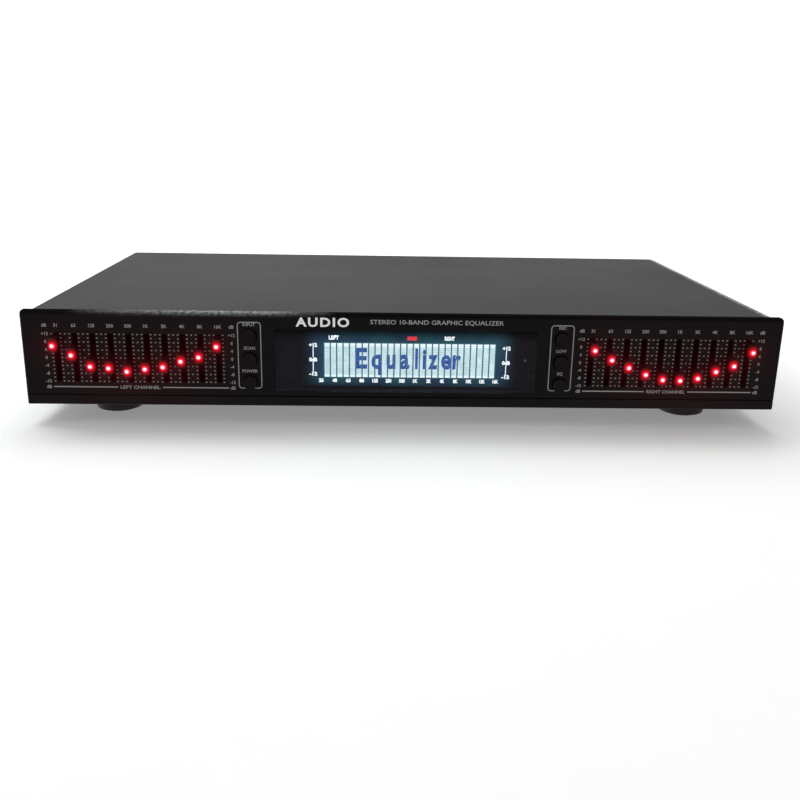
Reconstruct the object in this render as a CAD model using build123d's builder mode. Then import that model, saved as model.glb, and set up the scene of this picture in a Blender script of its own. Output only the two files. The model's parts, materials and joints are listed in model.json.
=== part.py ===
from build123d import *
import os

# Stereo ten-band graphic equalizer, built as the separate pieces it comes apart into.
# Millimetres, +Z up. The front panel faces -Y, and +X is to the right seen from the front.
# The origin is on the surface that the feet stand on, at the middle of the width and depth.

# ---- overall sizes ----
panel_width = 430.0
panel_height = 54.0
panel_thick = 6.0
panel_lift = 11.0
body_depth = 245.0
reach = 8.5
foot_height = 12.0
cover_width = 426.0
cover_sheet = 1.0
cover_drop = 0.8
tray_sheet = 1.2
fit_gap = 0.1
slip = 0.05

# ---- front panel layout, heights above the panel's lower edge ----
bank_offset = 150.8
band_pitch = 10.0
bands = ["31", "63", "125", "250", "500", "1k", "2k", "4k", "8k", "16k"]
slot_width = 2.8
slot_length = 28.0
travel_middle = 27.5
half_travel = 10.0
mm_per_decibel = 1.125
left_gains = [7.5, 2.9, -2.8, -3.5, -5.1, -3.8, -2.7, 0.3, 2.5, 7.9]
right_gains = [7.9, 3.1, -0.8, -4.3, -6.9, -7.2, -6.0, -2.4, 0.6, 7.6]
button_offset = 88.5
button_heights = [40.8, 27.3, 14.0]
left_buttons = ["button_input", "button_scan", "button_power"]
right_buttons = ["button_rec", "button_low", "button_eq"]
window_width = 148.7
window_height = 36.0
window_middle = 26.8
groove_height = 5.8

# ---- planes that several pieces share ----
front = -body_depth / 2
panel_back = front + panel_thick
rear = body_depth / 2
lip_inside = rear - cover_sheet
rear_sheet = 1.2
rear_inside = lip_inside - rear_sheet
tray_bottom = foot_height
tray_floor = tray_bottom + tray_sheet
cover_top = panel_lift + panel_height - cover_drop
cover_inside_top = cover_top - cover_sheet
board_thick = 1.6
board_front = -104.0
board_back = board_front + board_thick
slider_middle = panel_lift + travel_middle
window_z = panel_lift + window_middle
lip_height = 9.0
lip_screw_z = tray_bottom + 5.0

# ---- screws ----
m3_shank = 1.45
m3_hole = m3_shank + slip
m3_head = 2.75
m3_head_height = 2.0


def across(y):
    """A sketch plane across the unit at depth y: sketch x is X, sketch y is Z, normal to the front."""
    return Plane.XZ.offset(-y)


def level(z):
    """A horizontal sketch plane at height z."""
    return Plane.XY.offset(z)


def save(piece, name):
    """Label one finished piece and write its STEP file."""
    piece.part.label = name
    export_step(piece.part, f"parts/{name}.step")


def discs(points, outward, radius, height, mode=Mode.ADD):
    """Round bosses or holes that start at each point and run along outward."""
    with Locations(*[Plane(origin=point, z_dir=outward) for point in points]):
        Cylinder(radius, height, align=(Align.CENTER, Align.CENTER, Align.MIN), mode=mode)


def pan_screws(points, outward, shank_length, head=m3_head, shank=m3_shank):
    """Cross-head screws: a head stands on each point, and its shank runs the other way."""
    inward = tuple(-part for part in outward)
    discs(points, outward, head, m3_head_height)
    fillet(edges(Select.LAST).group_by(Axis((0, 0, 0), outward))[-1], m3_head_height * 0.6)
    slot_align = (Align.CENTER, Align.CENTER, Align.MAX)
    with Locations(*[Plane(origin=point, z_dir=outward).offset(m3_head_height) for point in points]):
        for long_side, short_side in ((head * 1.1, head * 0.26), (head * 0.26, head * 1.1)):
            Box(long_side, short_side, m3_head_height * 0.6, align=slot_align, mode=Mode.SUBTRACT)
    discs(points, inward, shank, shank_length)


def band_x(side, index):
    """The middle of one band's slot: side is -1 for the left bank and 1 for the right."""
    return side * bank_offset + (index - (len(bands) - 1) / 2) * band_pitch


os.makedirs("parts", exist_ok=True)

slot_points = [(band_x(side, i), slider_middle) for side in (-1, 1) for i in range(len(bands))]
button_points = [
    (side * button_offset, panel_lift + height) for side in (-1, 1) for height in button_heights
]

# ---- board positions behind the panel ----
slider_board_width = 108.6
slider_board_height = 41.0
slider_board_z = tray_bottom + 28.0
standoff_low = 24.5
standoff_high = 57.0
slider_posts = [
    (side * bank_offset + shift, z)
    for side in (-1, 1)
    for shift in (-51.7, 51.7)
    for z in (standoff_low, standoff_high)
]
display_posts = [(x, z) for x in (-78.2, 78.2) for z in (standoff_low, standoff_high)]
button_post_shift = 5.5
button_post_low = panel_lift + (button_heights[1] + button_heights[2]) / 2
button_post_high = panel_lift + (button_heights[0] + button_heights[1]) / 2
button_posts = [
    (side * button_offset + shift, z)
    for side in (-1, 1)
    for shift, z in ((button_post_shift, button_post_low), (-button_post_shift, button_post_high))
]
panel_posts = slider_posts + display_posts + button_posts
panel_screw_points = [(x, lip_screw_z) for x in (-206.0, -103.0, 103.0, 206.0)]
blind_depth = 4.0

# ==== front panel: thick extrusion with a rounded top edge and a groove along the bottom ====
button_radius = 4.0
button_hole = button_radius + fit_gap
with BuildPart() as front_panel:
    with BuildSketch(across(panel_back)):
        with Locations((0, panel_lift + panel_height / 2)):
            Rectangle(panel_width, panel_height)
    extrude(amount=panel_thick)
    with BuildSketch(across(front)):
        with Locations(*slot_points):
            SlotOverall(slot_length, slot_width, rotation=90)
        with Locations(*button_points):
            Circle(button_hole)
        with Locations((0, window_z)):
            RectangleRounded(window_width, window_height, 1.0)
    extrude(amount=-panel_thick, mode=Mode.SUBTRACT)
    front_face = front_panel.faces().filter_by(Axis.Y).sort_by(Axis.Y)[0]
    chamfer([edge for wire in front_face.inner_wires() for edge in wire.edges()], 0.25)
    long_edges = front_panel.edges().filter_by(Axis.X).filter_by(lambda e: e.length > panel_width - 1)
    front_long_edges = long_edges.group_by(Axis.Y)[0].sort_by(Axis.Z)
    fillet(front_long_edges[-1], 2.6)
    fillet(front_long_edges[0], 0.8)
    end_edges = front_panel.edges().filter_by(Axis.Z).group_by(Axis.Y)[0]
    chamfer(end_edges.filter_by(lambda e: abs(e.center().X) > panel_width / 2 - 1), 0.6)
    with BuildSketch(Plane.YZ.offset(-panel_width / 2)):
        with Locations((front, panel_lift + groove_height)):
            Rectangle(1.2, 0.7)
    extrude(amount=panel_width, mode=Mode.SUBTRACT)
    with BuildSketch(across(panel_back)):
        with Locations(*panel_posts, *panel_screw_points):
            Circle(m3_hole)
    extrude(amount=blind_depth, mode=Mode.SUBTRACT)
save(front_panel, "front_panel")

# ==== sheet-metal tray with low upstands on all four sides ====
tray_width = cover_width - 2 * cover_sheet - 2 * fit_gap
tray_depth = rear_inside - panel_back
tray_y = (rear_inside + panel_back) / 2
foot_points = [(x, y) for x in (-172.0, 172.0) for y in (-90.0, 92.0)]
main_board_x = 39.0
main_board_y = 52.0
main_board_width = 302.0
main_board_depth = 124.0
main_board_z = 20.0
main_board_top = main_board_z + board_thick
main_posts = [
    (main_board_x + x, main_board_y + y)
    for x in (-main_board_width / 2 + 6, -20.0, main_board_width / 2 - 6)
    for y in (-main_board_depth / 2 + 6, main_board_depth / 2 - 40)
]
transformer_x = -160.0
transformer_y = 48.0
transformer_ear = 35.0
transformer_screws = [(transformer_x + side * transformer_ear, transformer_y) for side in (-1, 1)]
side_screw_y = (-72.0, 72.0)
rear_screw_x = (-200.0, -66.0, 34.0, 200.0)
lip_notch_width = 190.0
lip_notch_depth = 4.3
vent_rows = [(-60.0, -55.0, 14), (100.0, -55.0, 14), (transformer_x, -30.0, 8)]
vent_pitch = 7.0
with BuildPart() as chassis_base:
    with Locations((0, tray_y, tray_bottom)):
        Box(tray_width, tray_depth, lip_height, align=(Align.CENTER, Align.CENTER, Align.MIN))
    side_bends = chassis_base.edges().filter_by(Axis.Y).group_by(Axis.Z)[0]
    fillet(side_bends, 1.5)
    offset(amount=-tray_sheet, openings=chassis_base.faces().sort_by(Axis.Z)[-1], kind=Kind.INTERSECTION)
    with BuildSketch(across(panel_back)):
        with Locations((0, tray_bottom + lip_height)):
            Rectangle(lip_notch_width, 2 * lip_notch_depth)
    extrude(amount=-tray_sheet, mode=Mode.SUBTRACT)
    with BuildSketch(level(tray_bottom)):
        with Locations(*foot_points, *main_posts, *transformer_screws):
            Circle(m3_hole)
        for row_x, row_y, count in vent_rows:
            with Locations((row_x, row_y)):
                with GridLocations(vent_pitch, 1, count, 1):
                    SlotOverall(26, 2.6, rotation=90)
    extrude(amount=tray_sheet, mode=Mode.SUBTRACT)
    front_lip_points = [(x, panel_back, z) for x, z in panel_screw_points]
    discs(front_lip_points, (0, 1, 0), m3_hole, tray_sheet, Mode.SUBTRACT)
    rear_lip_points = [(x, rear_inside, lip_screw_z) for x in rear_screw_x]
    discs(rear_lip_points, (0, -1, 0), m3_hole, tray_sheet, Mode.SUBTRACT)
    for side in (-1, 1):
        lip_points = [(side * tray_width / 2, y, lip_screw_z) for y in side_screw_y]
        discs(lip_points, (-side, 0, 0), m3_hole, tray_sheet, Mode.SUBTRACT)
save(chassis_base, "chassis_base")

# ==== folded cover: top, two sides and a short lip down over the rear panel ====
cover_bend = 2.4
rear_lip_height = 8.0
lip_screw_x = (-150.0, 0.0, 150.0)
lip_screw_top = cover_top - 5.0
with BuildPart() as top_cover:
    middle_x = cover_width / 2 - cover_sheet / 2
    middle_top = cover_top - cover_sheet / 2
    with BuildSketch(across(lip_inside)):
        with BuildLine():
            FilletPolyline(
                (-middle_x, tray_bottom),
                (-middle_x, middle_top),
                (middle_x, middle_top),
                (middle_x, tray_bottom),
                radius=cover_bend,
            )
        trace(line_width=cover_sheet)
    extrude(amount=lip_inside - panel_back)
    with BuildSketch(across(rear)):
        with Locations((0, cover_top - rear_lip_height / 2)):
            Rectangle(cover_width - 4 * cover_bend, rear_lip_height)
    extrude(amount=cover_sheet)
    lip_edge = top_cover.edges().filter_by(Axis.X).group_by(Axis.Y)[-1].sort_by(Axis.Z)[-1]
    fillet(lip_edge, 0.8)
    discs([(x, rear, lip_screw_top) for x in lip_screw_x], (0, -1, 0), m3_hole, cover_sheet, Mode.SUBTRACT)
    for side in (-1, 1):
        hole_points = [(side * cover_width / 2, y, lip_screw_z) for y in side_screw_y]
        discs(hole_points, (-side, 0, 0), m3_hole, cover_sheet, Mode.SUBTRACT)
save(top_cover, "top_cover")

# ==== rear panel with its cut-outs ====
inlet_x = -168.0
inlet_z = 38.0
inlet_body_width = 27.2
inlet_body_height = 19.8
inlet_ear = 20.0
fuse_x = -126.0
fuse_z = 38.0
fuse_radius = 6.1
jack_columns = (72.0, 92.0, 112.0, 132.0)
jack_rows = (30.0, 46.0)
jack_boss = 5.5
jack_points = [(x, z) for x in jack_columns for z in jack_rows]
block_x = sum(jack_columns) / len(jack_columns)
block_z = sum(jack_rows) / len(jack_rows)
block_width = 92.0
block_screws = [(block_x + side * (block_width / 2 - 4), block_z) for side in (-1, 1)]
with BuildPart() as rear_panel:
    with BuildSketch(across(rear_inside)) as rear_outline:
        panel_low = tray_bottom + fit_gap
        panel_high = cover_inside_top - fit_gap
        with Locations((0, (panel_low + panel_high) / 2)):
            Rectangle(tray_width, panel_high - panel_low)
        fillet(rear_outline.vertices().group_by(Axis.Y)[-1], cover_bend)
        with Locations((inlet_x, inlet_z)):
            Rectangle(inlet_body_width + 0.4, inlet_body_height + 0.4, mode=Mode.SUBTRACT)
        with Locations((fuse_x, fuse_z)):
            Circle(fuse_radius + slip, mode=Mode.SUBTRACT)
        with Locations(*jack_points):
            Circle(jack_boss + slip, mode=Mode.SUBTRACT)
        with Locations(
            (inlet_x - inlet_ear, inlet_z),
            (inlet_x + inlet_ear, inlet_z),
            *block_screws,
            *[(x, lip_screw_z) for x in rear_screw_x],
            *[(x, lip_screw_top) for x in lip_screw_x],
        ):
            Circle(m3_hole, mode=Mode.SUBTRACT)
    extrude(amount=-rear_sheet)
save(rear_panel, "rear_panel")

# ==== screws that hold the shells together ====
with BuildPart() as cover_screws:
    for side in (-1, 1):
        heads = [(side * cover_width / 2, y, lip_screw_z) for y in side_screw_y]
        pan_screws(heads, (side, 0, 0), 6.0)
    pan_screws([(x, rear, lip_screw_top) for x in lip_screw_x], (0, 1, 0), 5.0)
save(cover_screws, "cover_screws")

with BuildPart() as rear_panel_screws:
    pan_screws([(x, lip_inside, lip_screw_z) for x in rear_screw_x], (0, 1, 0), 6.0)
    pan_screws([(x, lip_inside, z) for x, z in block_screws], (0, 1, 0), 8.0)
save(rear_panel_screws, "rear_panel_screws")

with BuildPart() as front_panel_screws:
    lip_face = panel_back + tray_sheet
    heads = [(x, lip_face, z) for x, z in panel_screw_points]
    pan_screws(heads, (0, 1, 0), tray_sheet + blind_depth - 0.4)
save(front_panel_screws, "front_panel_screws")

# ==== smoked window, flush with the panel, with a flange behind it ====
window_flange = 1.5
with BuildPart() as display_window:
    with BuildSketch(across(panel_back)):
        with Locations((0, window_z)):
            RectangleRounded(window_width - 2 * fit_gap, window_height - 2 * fit_gap, 0.9)
    extrude(amount=panel_thick)
    with BuildSketch(across(panel_back)):
        with Locations((0, window_z)):
            Rectangle(window_width + 2 * window_flange, window_height + 2 * window_flange)
    extrude(amount=-window_flange)
save(display_window, "display_window")

# ==== display: glass tube on its board, and the infra-red eye beside it ====
tube_front = front + 12.0
tube_width = 130.0
tube_height = 38.0
tube_x = 2.6
with BuildPart() as display_tube:
    with BuildSketch(across(board_front)):
        with Locations((tube_x, window_z)):
            RectangleRounded(tube_width, tube_height, 1.5)
    extrude(amount=board_front - tube_front)
    fillet(display_tube.faces().sort_by(Axis.Y)[0].edges(), 0.6)
save(display_tube, "display_tube")

display_board_width = 161.0
with BuildPart() as display_board:
    with BuildSketch(across(board_front)):
        with Locations((0, slider_board_z)):
            Rectangle(display_board_width, slider_board_height)
        with Locations(*display_posts):
            Circle(m3_hole, mode=Mode.SUBTRACT)
    extrude(amount=-board_thick)
save(display_board, "display_board")

sensor_x = 71.2
sensor_z = window_z - 2.0
with BuildPart() as remote_sensor:
    with BuildSketch(across(board_front)):
        with Locations((sensor_x, sensor_z)):
            Rectangle(5.4, 6.4)
    extrude(amount=4.0)
    discs([(sensor_x, board_front - 4.0, sensor_z)], (0, -1, 0), 2.2, 2.0)
    fillet(remote_sensor.edges().group_by(Axis.Y)[0], 1.2)
save(remote_sensor, "remote_sensor")

# ==== boards behind the sliders and the buttons ====
with BuildPart() as slider_boards:
    with BuildSketch(across(board_front)):
        with Locations((-bank_offset, slider_board_z), (bank_offset, slider_board_z)):
            Rectangle(slider_board_width, slider_board_height)
        with Locations(*slider_posts):
            Circle(m3_hole, mode=Mode.SUBTRACT)
    extrude(amount=-board_thick)
save(slider_boards, "slider_boards")

button_board_width = 15.6
with BuildPart() as button_boards:
    with BuildSketch(across(board_front)):
        with Locations((-button_offset, slider_board_z), (button_offset, slider_board_z)):
            Rectangle(button_board_width, slider_board_height)
        with Locations(*button_posts):
            Circle(m3_hole, mode=Mode.SUBTRACT)
    extrude(amount=-board_thick)
save(button_boards, "button_boards")

# ==== slide potentiometers: a can with an open slot, which the wiper block runs in ====
pot_front = -111.0
pot_width = 7.0
pot_length = 35.0
pot_wall = 0.8
lever_width = 1.4
lever_height = 4.0
for side, name in ((-1, "slider_pots_left"), (1, "slider_pots_right")):
    bank_points = [point for point in slot_points if point[0] * side > 0]
    with BuildPart() as slider_pots:
        with BuildSketch(across(board_front)):
            with Locations(*bank_points):
                Rectangle(pot_width, pot_length)
        extrude(amount=board_front - pot_front)
        with BuildSketch(across(board_front - pot_wall)):
            with Locations(*bank_points):
                Rectangle(pot_width - 2 * pot_wall, pot_length - 2 * pot_wall)
        extrude(amount=board_front - pot_front - 2 * pot_wall, mode=Mode.SUBTRACT)
        with BuildSketch(across(pot_front)):
            with Locations(*bank_points):
                Rectangle(lever_width + 0.6, 2 * half_travel + lever_height + 1)
        extrude(amount=-pot_wall, mode=Mode.SUBTRACT)
    save(slider_pots, name)

# ==== the twenty sliders: wiper block, lever, cap and its red lens ====
cap_width = 4.6
cap_length = 9.0
cap_base = front - 0.9
cap_front = front - reach + 1.0
cap_waist = 3.5
lens_radius = 1.6
lens_depth = 3.0
socket_depth = 4.0


def make_slider(x, z):
    """One slider at its rest height: cap, lens, and the lever with its wiper block."""
    cap_middle = (cap_base + cap_front) / 2
    base_half = cap_length / 2
    front_half = base_half - 0.5
    block_back = board_front - pot_wall - 0.4
    block_front = block_back - 3.6
    with BuildPart() as slider:
        with BuildSketch(Plane.YZ.offset(x - cap_width / 2)):
            with BuildLine():
                Line((cap_base, z - base_half), (cap_base, z + base_half))
                ThreePointArc((cap_base, z + base_half), (cap_middle, z + cap_waist), (cap_front, z + front_half))
                Line((cap_front, z + front_half), (cap_front, z - front_half))
                ThreePointArc((cap_front, z - front_half), (cap_middle, z - cap_waist), (cap_base, z - base_half))
            make_face()
        extrude(amount=cap_width)
        fillet(slider.faces().sort_by(Axis.Y)[0].edges(), 0.5)
        discs([(x, cap_front, z)], (0, 1, 0), lens_radius + slip, lens_depth, Mode.SUBTRACT)
        with BuildSketch(across(cap_base)):
            with Locations((x, z)):
                Rectangle(lever_width + 2 * slip, lever_height + 2 * slip)
        extrude(amount=socket_depth, mode=Mode.SUBTRACT)
        with BuildSketch(across(block_back)):
            with Locations((x, z)):
                Rectangle(pot_width - 2 * pot_wall - 0.4, 2.2 * lever_height)
        extrude(amount=block_back - block_front)
        with BuildSketch(across(block_front)):
            with Locations((x, z)):
                Rectangle(lever_width, lever_height)
        extrude(amount=block_front - cap_base + socket_depth - fit_gap)
        lens_back = cap_front + lens_depth - fit_gap
        discs([(x, lens_back, z)], (0, -1, 0), lens_radius, lens_back - (front - reach))
        fillet(edges(Select.LAST).group_by(Axis.Y)[0], 0.9)
    return slider


for side, bank, gains in ((-1, "left", left_gains), (1, "right", right_gains)):
    for i, band in enumerate(bands):
        slider = make_slider(band_x(side, i), slider_middle + gains[i] * mm_per_decibel)
        save(slider, f"slider_{bank}_{band}")

# ==== push buttons: dished cap, stop flange behind the panel, and the stem into the switch ====
button_front = front - 2.5
button_travel = 2.0
stop_radius = 5.2
stop_front = panel_back + slip
stop_thick = 1.2
stem_radius = 1.9
switch_front = -109.0
stem_end = switch_front + 1.5
dish_depth = 0.8
dish_rim = button_radius - 0.6
dish_radius = (dish_rim**2 + dish_depth**2) / (2 * dish_depth)


def make_button(x, z):
    """One push button at rest, its stop flange just behind the panel."""
    with BuildPart() as button:
        discs([(x, stop_front, z)], (0, -1, 0), button_radius, stop_front - button_front)
        fillet(edges(Select.LAST).group_by(Axis.Y)[0], 0.5)
        with Locations((x, button_front - dish_radius + dish_depth, z)):
            Sphere(dish_radius, mode=Mode.SUBTRACT)
        discs([(x, stop_front, z)], (0, 1, 0), stop_radius, stop_thick)
        discs([(x, stop_front + stop_thick, z)], (0, 1, 0), stem_radius, stem_end - stop_front - stop_thick)
    return button


for side, names in ((-1, left_buttons), (1, right_buttons)):
    for name, height in zip(names, button_heights):
        save(make_button(side * button_offset, panel_lift + height), name)

with BuildPart() as button_switches:
    with BuildSketch(across(board_front)):
        with Locations(*button_points):
            Rectangle(7.0, 7.0)
    extrude(amount=board_front - switch_front)
    pocket_mouths = [(x, switch_front, z) for x, z in button_points]
    pocket_depth = stem_end - switch_front + button_travel + 0.2
    discs(pocket_mouths, (0, 1, 0), stem_radius + slip, pocket_depth, Mode.SUBTRACT)
save(button_switches, "button_switches")

# ==== posts: steel ones pressed into the panel's back, and short ones under the main board ====
panel_post_radius = 2.2
main_post_radius = 3.0
post_thread = 2.8
with BuildPart() as board_standoffs:
    feet_of_posts = [(x, panel_back, z) for x, z in panel_posts]
    discs(feet_of_posts, (0, 1, 0), panel_post_radius, board_front - panel_back)
    discs(feet_of_posts, (0, -1, 0), m3_shank, blind_depth - 0.4)
    ends_of_posts = [(x, board_front, z) for x, z in panel_posts]
    discs(ends_of_posts, (0, -1, 0), m3_hole, 7.0, Mode.SUBTRACT)
    with BuildSketch(level(tray_floor)):
        with Locations(*main_posts):
            RegularPolygon(main_post_radius, 6)
            Circle(m3_hole, mode=Mode.SUBTRACT)
    extrude(amount=main_board_z - tray_floor)
save(board_standoffs, "board_standoffs")

# ==== main board and what stands on it ====
with BuildPart() as main_board:
    with BuildSketch(level(main_board_z)):
        with Locations((main_board_x, main_board_y)):
            Rectangle(main_board_width, main_board_depth)
        with Locations(*main_posts):
            Circle(m3_hole, mode=Mode.SUBTRACT)
    extrude(amount=board_thick)
save(main_board, "main_board")

amplifier_grid = [(x, y) for x in range(-75, 176, 25) for y in (10.0, 34.0)]
processor_x = 62.0
processor_y = 66.0
with BuildPart() as board_chips:
    with BuildSketch(level(main_board_top)):
        with Locations(*amplifier_grid):
            Rectangle(9.8, 6.4)
        with Locations((processor_x, processor_y)):
            Rectangle(52.0, 14.0)
    extrude(amount=3.6)
    chamfer(board_chips.edges().group_by(Axis.Z)[-1], 0.5)
save(board_chips, "board_chips")

reservoir_points = [(-58.0, 60.0), (-58.0, 84.0)]
small_capacitors = [(x, y) for x in range(-88, 163, 25) for y in (22.0, 46.0)]
with BuildPart() as board_capacitors:
    for points, radius, height in ((reservoir_points, 8.0, 25.0), (small_capacitors, 3.2, 11.0)):
        discs([(x, y, main_board_top) for x, y in points], (0, 0, 1), radius, height)
        fillet(edges(Select.LAST).group_by(Axis.Z)[-1], 0.6)
save(board_capacitors, "board_capacitors")

sink_x = -92.0
sink_y = 72.0
sink_length = 36.0
sink_height = 30.0
with BuildPart() as regulator_heat_sink:
    with BuildSketch(level(main_board_top)):
        with Locations((sink_x, sink_y)):
            Rectangle(3.0, sink_length)
            with GridLocations(1, 5.6, 1, 7):
                Rectangle(16.0, 1.4)
    extrude(amount=sink_height)
save(regulator_heat_sink, "regulator_heat_sink")

# ==== power transformer: laminated core, winding in its windows, and a strap with ears ====
core_width = 57.0
core_height = 46.0
core_stack = 26.0
core_leg = 9.5
window_gap = 0.3
strap = 1.0
with BuildPart() as power_transformer:
    core_base = tray_floor
    core_middle = core_base + core_height / 2
    window_tall = core_height - 2 * core_leg
    window_x = core_leg * 1.5
    with BuildSketch(across(transformer_y + core_stack / 2)):
        with Locations((transformer_x, core_middle)):
            Rectangle(core_width, core_height)
            with Locations((-window_x, 0), (window_x, 0)):
                Rectangle(core_leg, window_tall, mode=Mode.SUBTRACT)
    extrude(amount=core_stack)
    with BuildSketch(level(core_middle)):
        with Locations((transformer_x, transformer_y)):
            RectangleRounded(4 * core_leg - 2 * window_gap, core_stack + 2 * core_leg, 4.0)
            Rectangle(2 * (core_leg + window_gap), core_stack + 2 * window_gap, mode=Mode.SUBTRACT)
    extrude(amount=window_tall / 2 - window_gap, both=True)
    with BuildSketch(across(transformer_y + core_stack / 2)):
        strap_outside = core_width / 2 + window_gap + strap
        strap_top = core_base + core_height + window_gap + strap
        ear_end = transformer_ear + 4.0
        with BuildLine():
            Polyline(
                (transformer_x - ear_end, core_base + strap),
                (transformer_x - ear_end, core_base),
                (transformer_x - strap_outside + strap, core_base),
                (transformer_x - strap_outside + strap, strap_top - strap),
                (transformer_x + strap_outside - strap, strap_top - strap),
                (transformer_x + strap_outside - strap, core_base),
                (transformer_x + ear_end, core_base),
                (transformer_x + ear_end, core_base + strap),
                (transformer_x + strap_outside, core_base + strap),
                (transformer_x + strap_outside, strap_top),
                (transformer_x - strap_outside, strap_top),
                (transformer_x - strap_outside, core_base + strap),
                close=True,
            )
        make_face()
    extrude(amount=core_stack)
    ear_points = [(x, y, core_base) for x, y in transformer_screws]
    discs(ear_points, (0, 0, 1), m3_hole, strap, Mode.SUBTRACT)
save(power_transformer, "power_transformer")

# ==== screws inside: boards to posts, posts and transformer to the tray, with hexagon nuts ====
nut_radius = 3.1
nut_height = 2.4
with BuildPart() as chassis_screws:
    pan_screws([(x, board_back, z) for x, z in panel_posts], (0, 1, 0), board_thick + 6.0, m3_head * 0.8)
    pan_screws([(x, y, main_board_top) for x, y in main_posts], (0, 0, 1), board_thick + post_thread)
    pan_screws([(x, y, tray_bottom) for x, y in main_posts], (0, 0, -1), tray_sheet + post_thread)
    pan_screws([(x, y, tray_bottom) for x, y in transformer_screws], (0, 0, -1), tray_sheet + strap + 3.2)
    with BuildSketch(level(tray_floor + strap)):
        with Locations(*transformer_screws):
            RegularPolygon(nut_radius, 6)
            Circle(m3_hole, mode=Mode.SUBTRACT)
    extrude(amount=nut_height)
save(chassis_screws, "chassis_screws")

# ==== phono jacks: moulded block with bosses through the rear panel, insulators and metal barrels ====
barrel_radius = 4.15
barrel_neck = 3.7
barrel_bore = 3.25
barrel_depth = 6.3
pin_hole = 1.65
pin_depth = 12.0
insulator_end = rear + reach - 1.2
block_depth = 12.0
block_height = 2 * (block_z - main_board_top)
boss_end = lip_inside + 0.8
barrel_shoulder = boss_end + 0.3
inside_points = [(x, rear_inside, z) for x, z in jack_points]
seat_points = [(x, rear_inside - barrel_depth, z) for x, z in jack_points]
with BuildPart() as phono_jack_block:
    with BuildSketch(across(rear_inside)):
        with Locations((block_x, block_z)):
            Rectangle(block_width, block_height)
    extrude(amount=block_depth)
    discs(inside_points, (0, 1, 0), jack_boss, boss_end - rear_inside)
    fillet(edges(Select.LAST).group_by(Axis.Y)[-1], 0.3)
    seat_length = boss_end - rear_inside + barrel_depth
    discs(seat_points, (0, 1, 0), barrel_neck + slip, seat_length, Mode.SUBTRACT)
    screw_seats = [(x, rear_inside, z) for x, z in block_screws]
    discs(screw_seats, (0, -1, 0), m3_hole, 8.0, Mode.SUBTRACT)
save(phono_jack_block, "phono_jack_block")

with BuildPart() as phono_jack_insulators:
    insulator_length = insulator_end - rear_inside + barrel_depth
    discs(seat_points, (0, 1, 0), barrel_bore - slip, insulator_length)
    mouth_points = [(x, insulator_end, z) for x, z in jack_points]
    discs(mouth_points, (0, -1, 0), pin_hole, pin_depth, Mode.SUBTRACT)
save(phono_jack_insulators, "phono_jack_insulators")

with BuildPart() as phono_jack_barrels:
    barrel_length = rear + reach - rear_inside + barrel_depth
    shoulder_points = [(x, barrel_shoulder, z) for x, z in jack_points]
    discs(seat_points, (0, 1, 0), barrel_neck, barrel_length)
    discs(shoulder_points, (0, 1, 0), barrel_radius, rear + reach - barrel_shoulder)
    fillet(edges(Select.LAST).group_by(Axis.Y)[-1], 0.3)
    discs(seat_points, (0, 1, 0), barrel_bore, barrel_length, Mode.SUBTRACT)
save(phono_jack_barrels, "phono_jack_barrels")

# ==== mains inlet: flanged socket with three blades, and the fuse holder beside it ====
inlet_flange = 3.0
inlet_mouth = lip_inside + inlet_flange
inlet_back = lip_inside - 17.0
cavity_width = 24.2
cavity_height = 16.8
cavity_depth = 16.5
cavity_corner = 4.5
blade_width = 2.0
blade_height = 4.0
blade_points = [(inlet_x - 7.0, inlet_z - 2.0), (inlet_x, inlet_z + 2.0), (inlet_x + 7.0, inlet_z - 2.0)]
ear_screws = [(inlet_x - inlet_ear, inlet_z), (inlet_x + inlet_ear, inlet_z)]
with BuildPart() as mains_inlet:
    with BuildSketch(across(lip_inside)):
        with Locations((inlet_x, inlet_z)):
            RectangleRounded(2 * inlet_ear + 9.0, inlet_body_height + 2.6, 3.0)
        with Locations(*ear_screws):
            Circle(m3_hole, mode=Mode.SUBTRACT)
    extrude(amount=-inlet_flange)
    fillet(mains_inlet.faces().sort_by(Axis.Y)[-1].outer_wire().edges(), 0.6)
    with BuildSketch(across(lip_inside)):
        with Locations((inlet_x, inlet_z)):
            Rectangle(inlet_body_width, inlet_body_height)
    extrude(amount=lip_inside - inlet_back)
    with BuildSketch(across(inlet_mouth)) as cavity:
        with Locations((inlet_x, inlet_z)):
            Rectangle(cavity_width, cavity_height)
        chamfer(cavity.vertices().group_by(Axis.Y)[-1], cavity_corner)
    extrude(amount=cavity_depth, mode=Mode.SUBTRACT)
    with BuildSketch(across(inlet_back)):
        with Locations(*blade_points):
            Rectangle(blade_width + 2 * slip, blade_height + 2 * slip)
    extrude(amount=-(inlet_mouth - cavity_depth - inlet_back), mode=Mode.SUBTRACT)
save(mains_inlet, "mains_inlet")

blade_end = inlet_mouth - 2.5
tab_end = inlet_back - 7.0
with BuildPart() as mains_inlet_blades:
    with BuildSketch(across(tab_end)):
        with Locations(*blade_points):
            Rectangle(blade_width, blade_height)
    extrude(amount=-(blade_end - tab_end))
    chamfer(mains_inlet_blades.edges().group_by(Axis.Y)[-1], 0.5)
    pan_screws([(x, inlet_mouth, z) for x, z in ear_screws], (0, 1, 0), inlet_flange + rear_sheet + 3.0)
save(mains_inlet_blades, "mains_inlet_blades")

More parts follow.
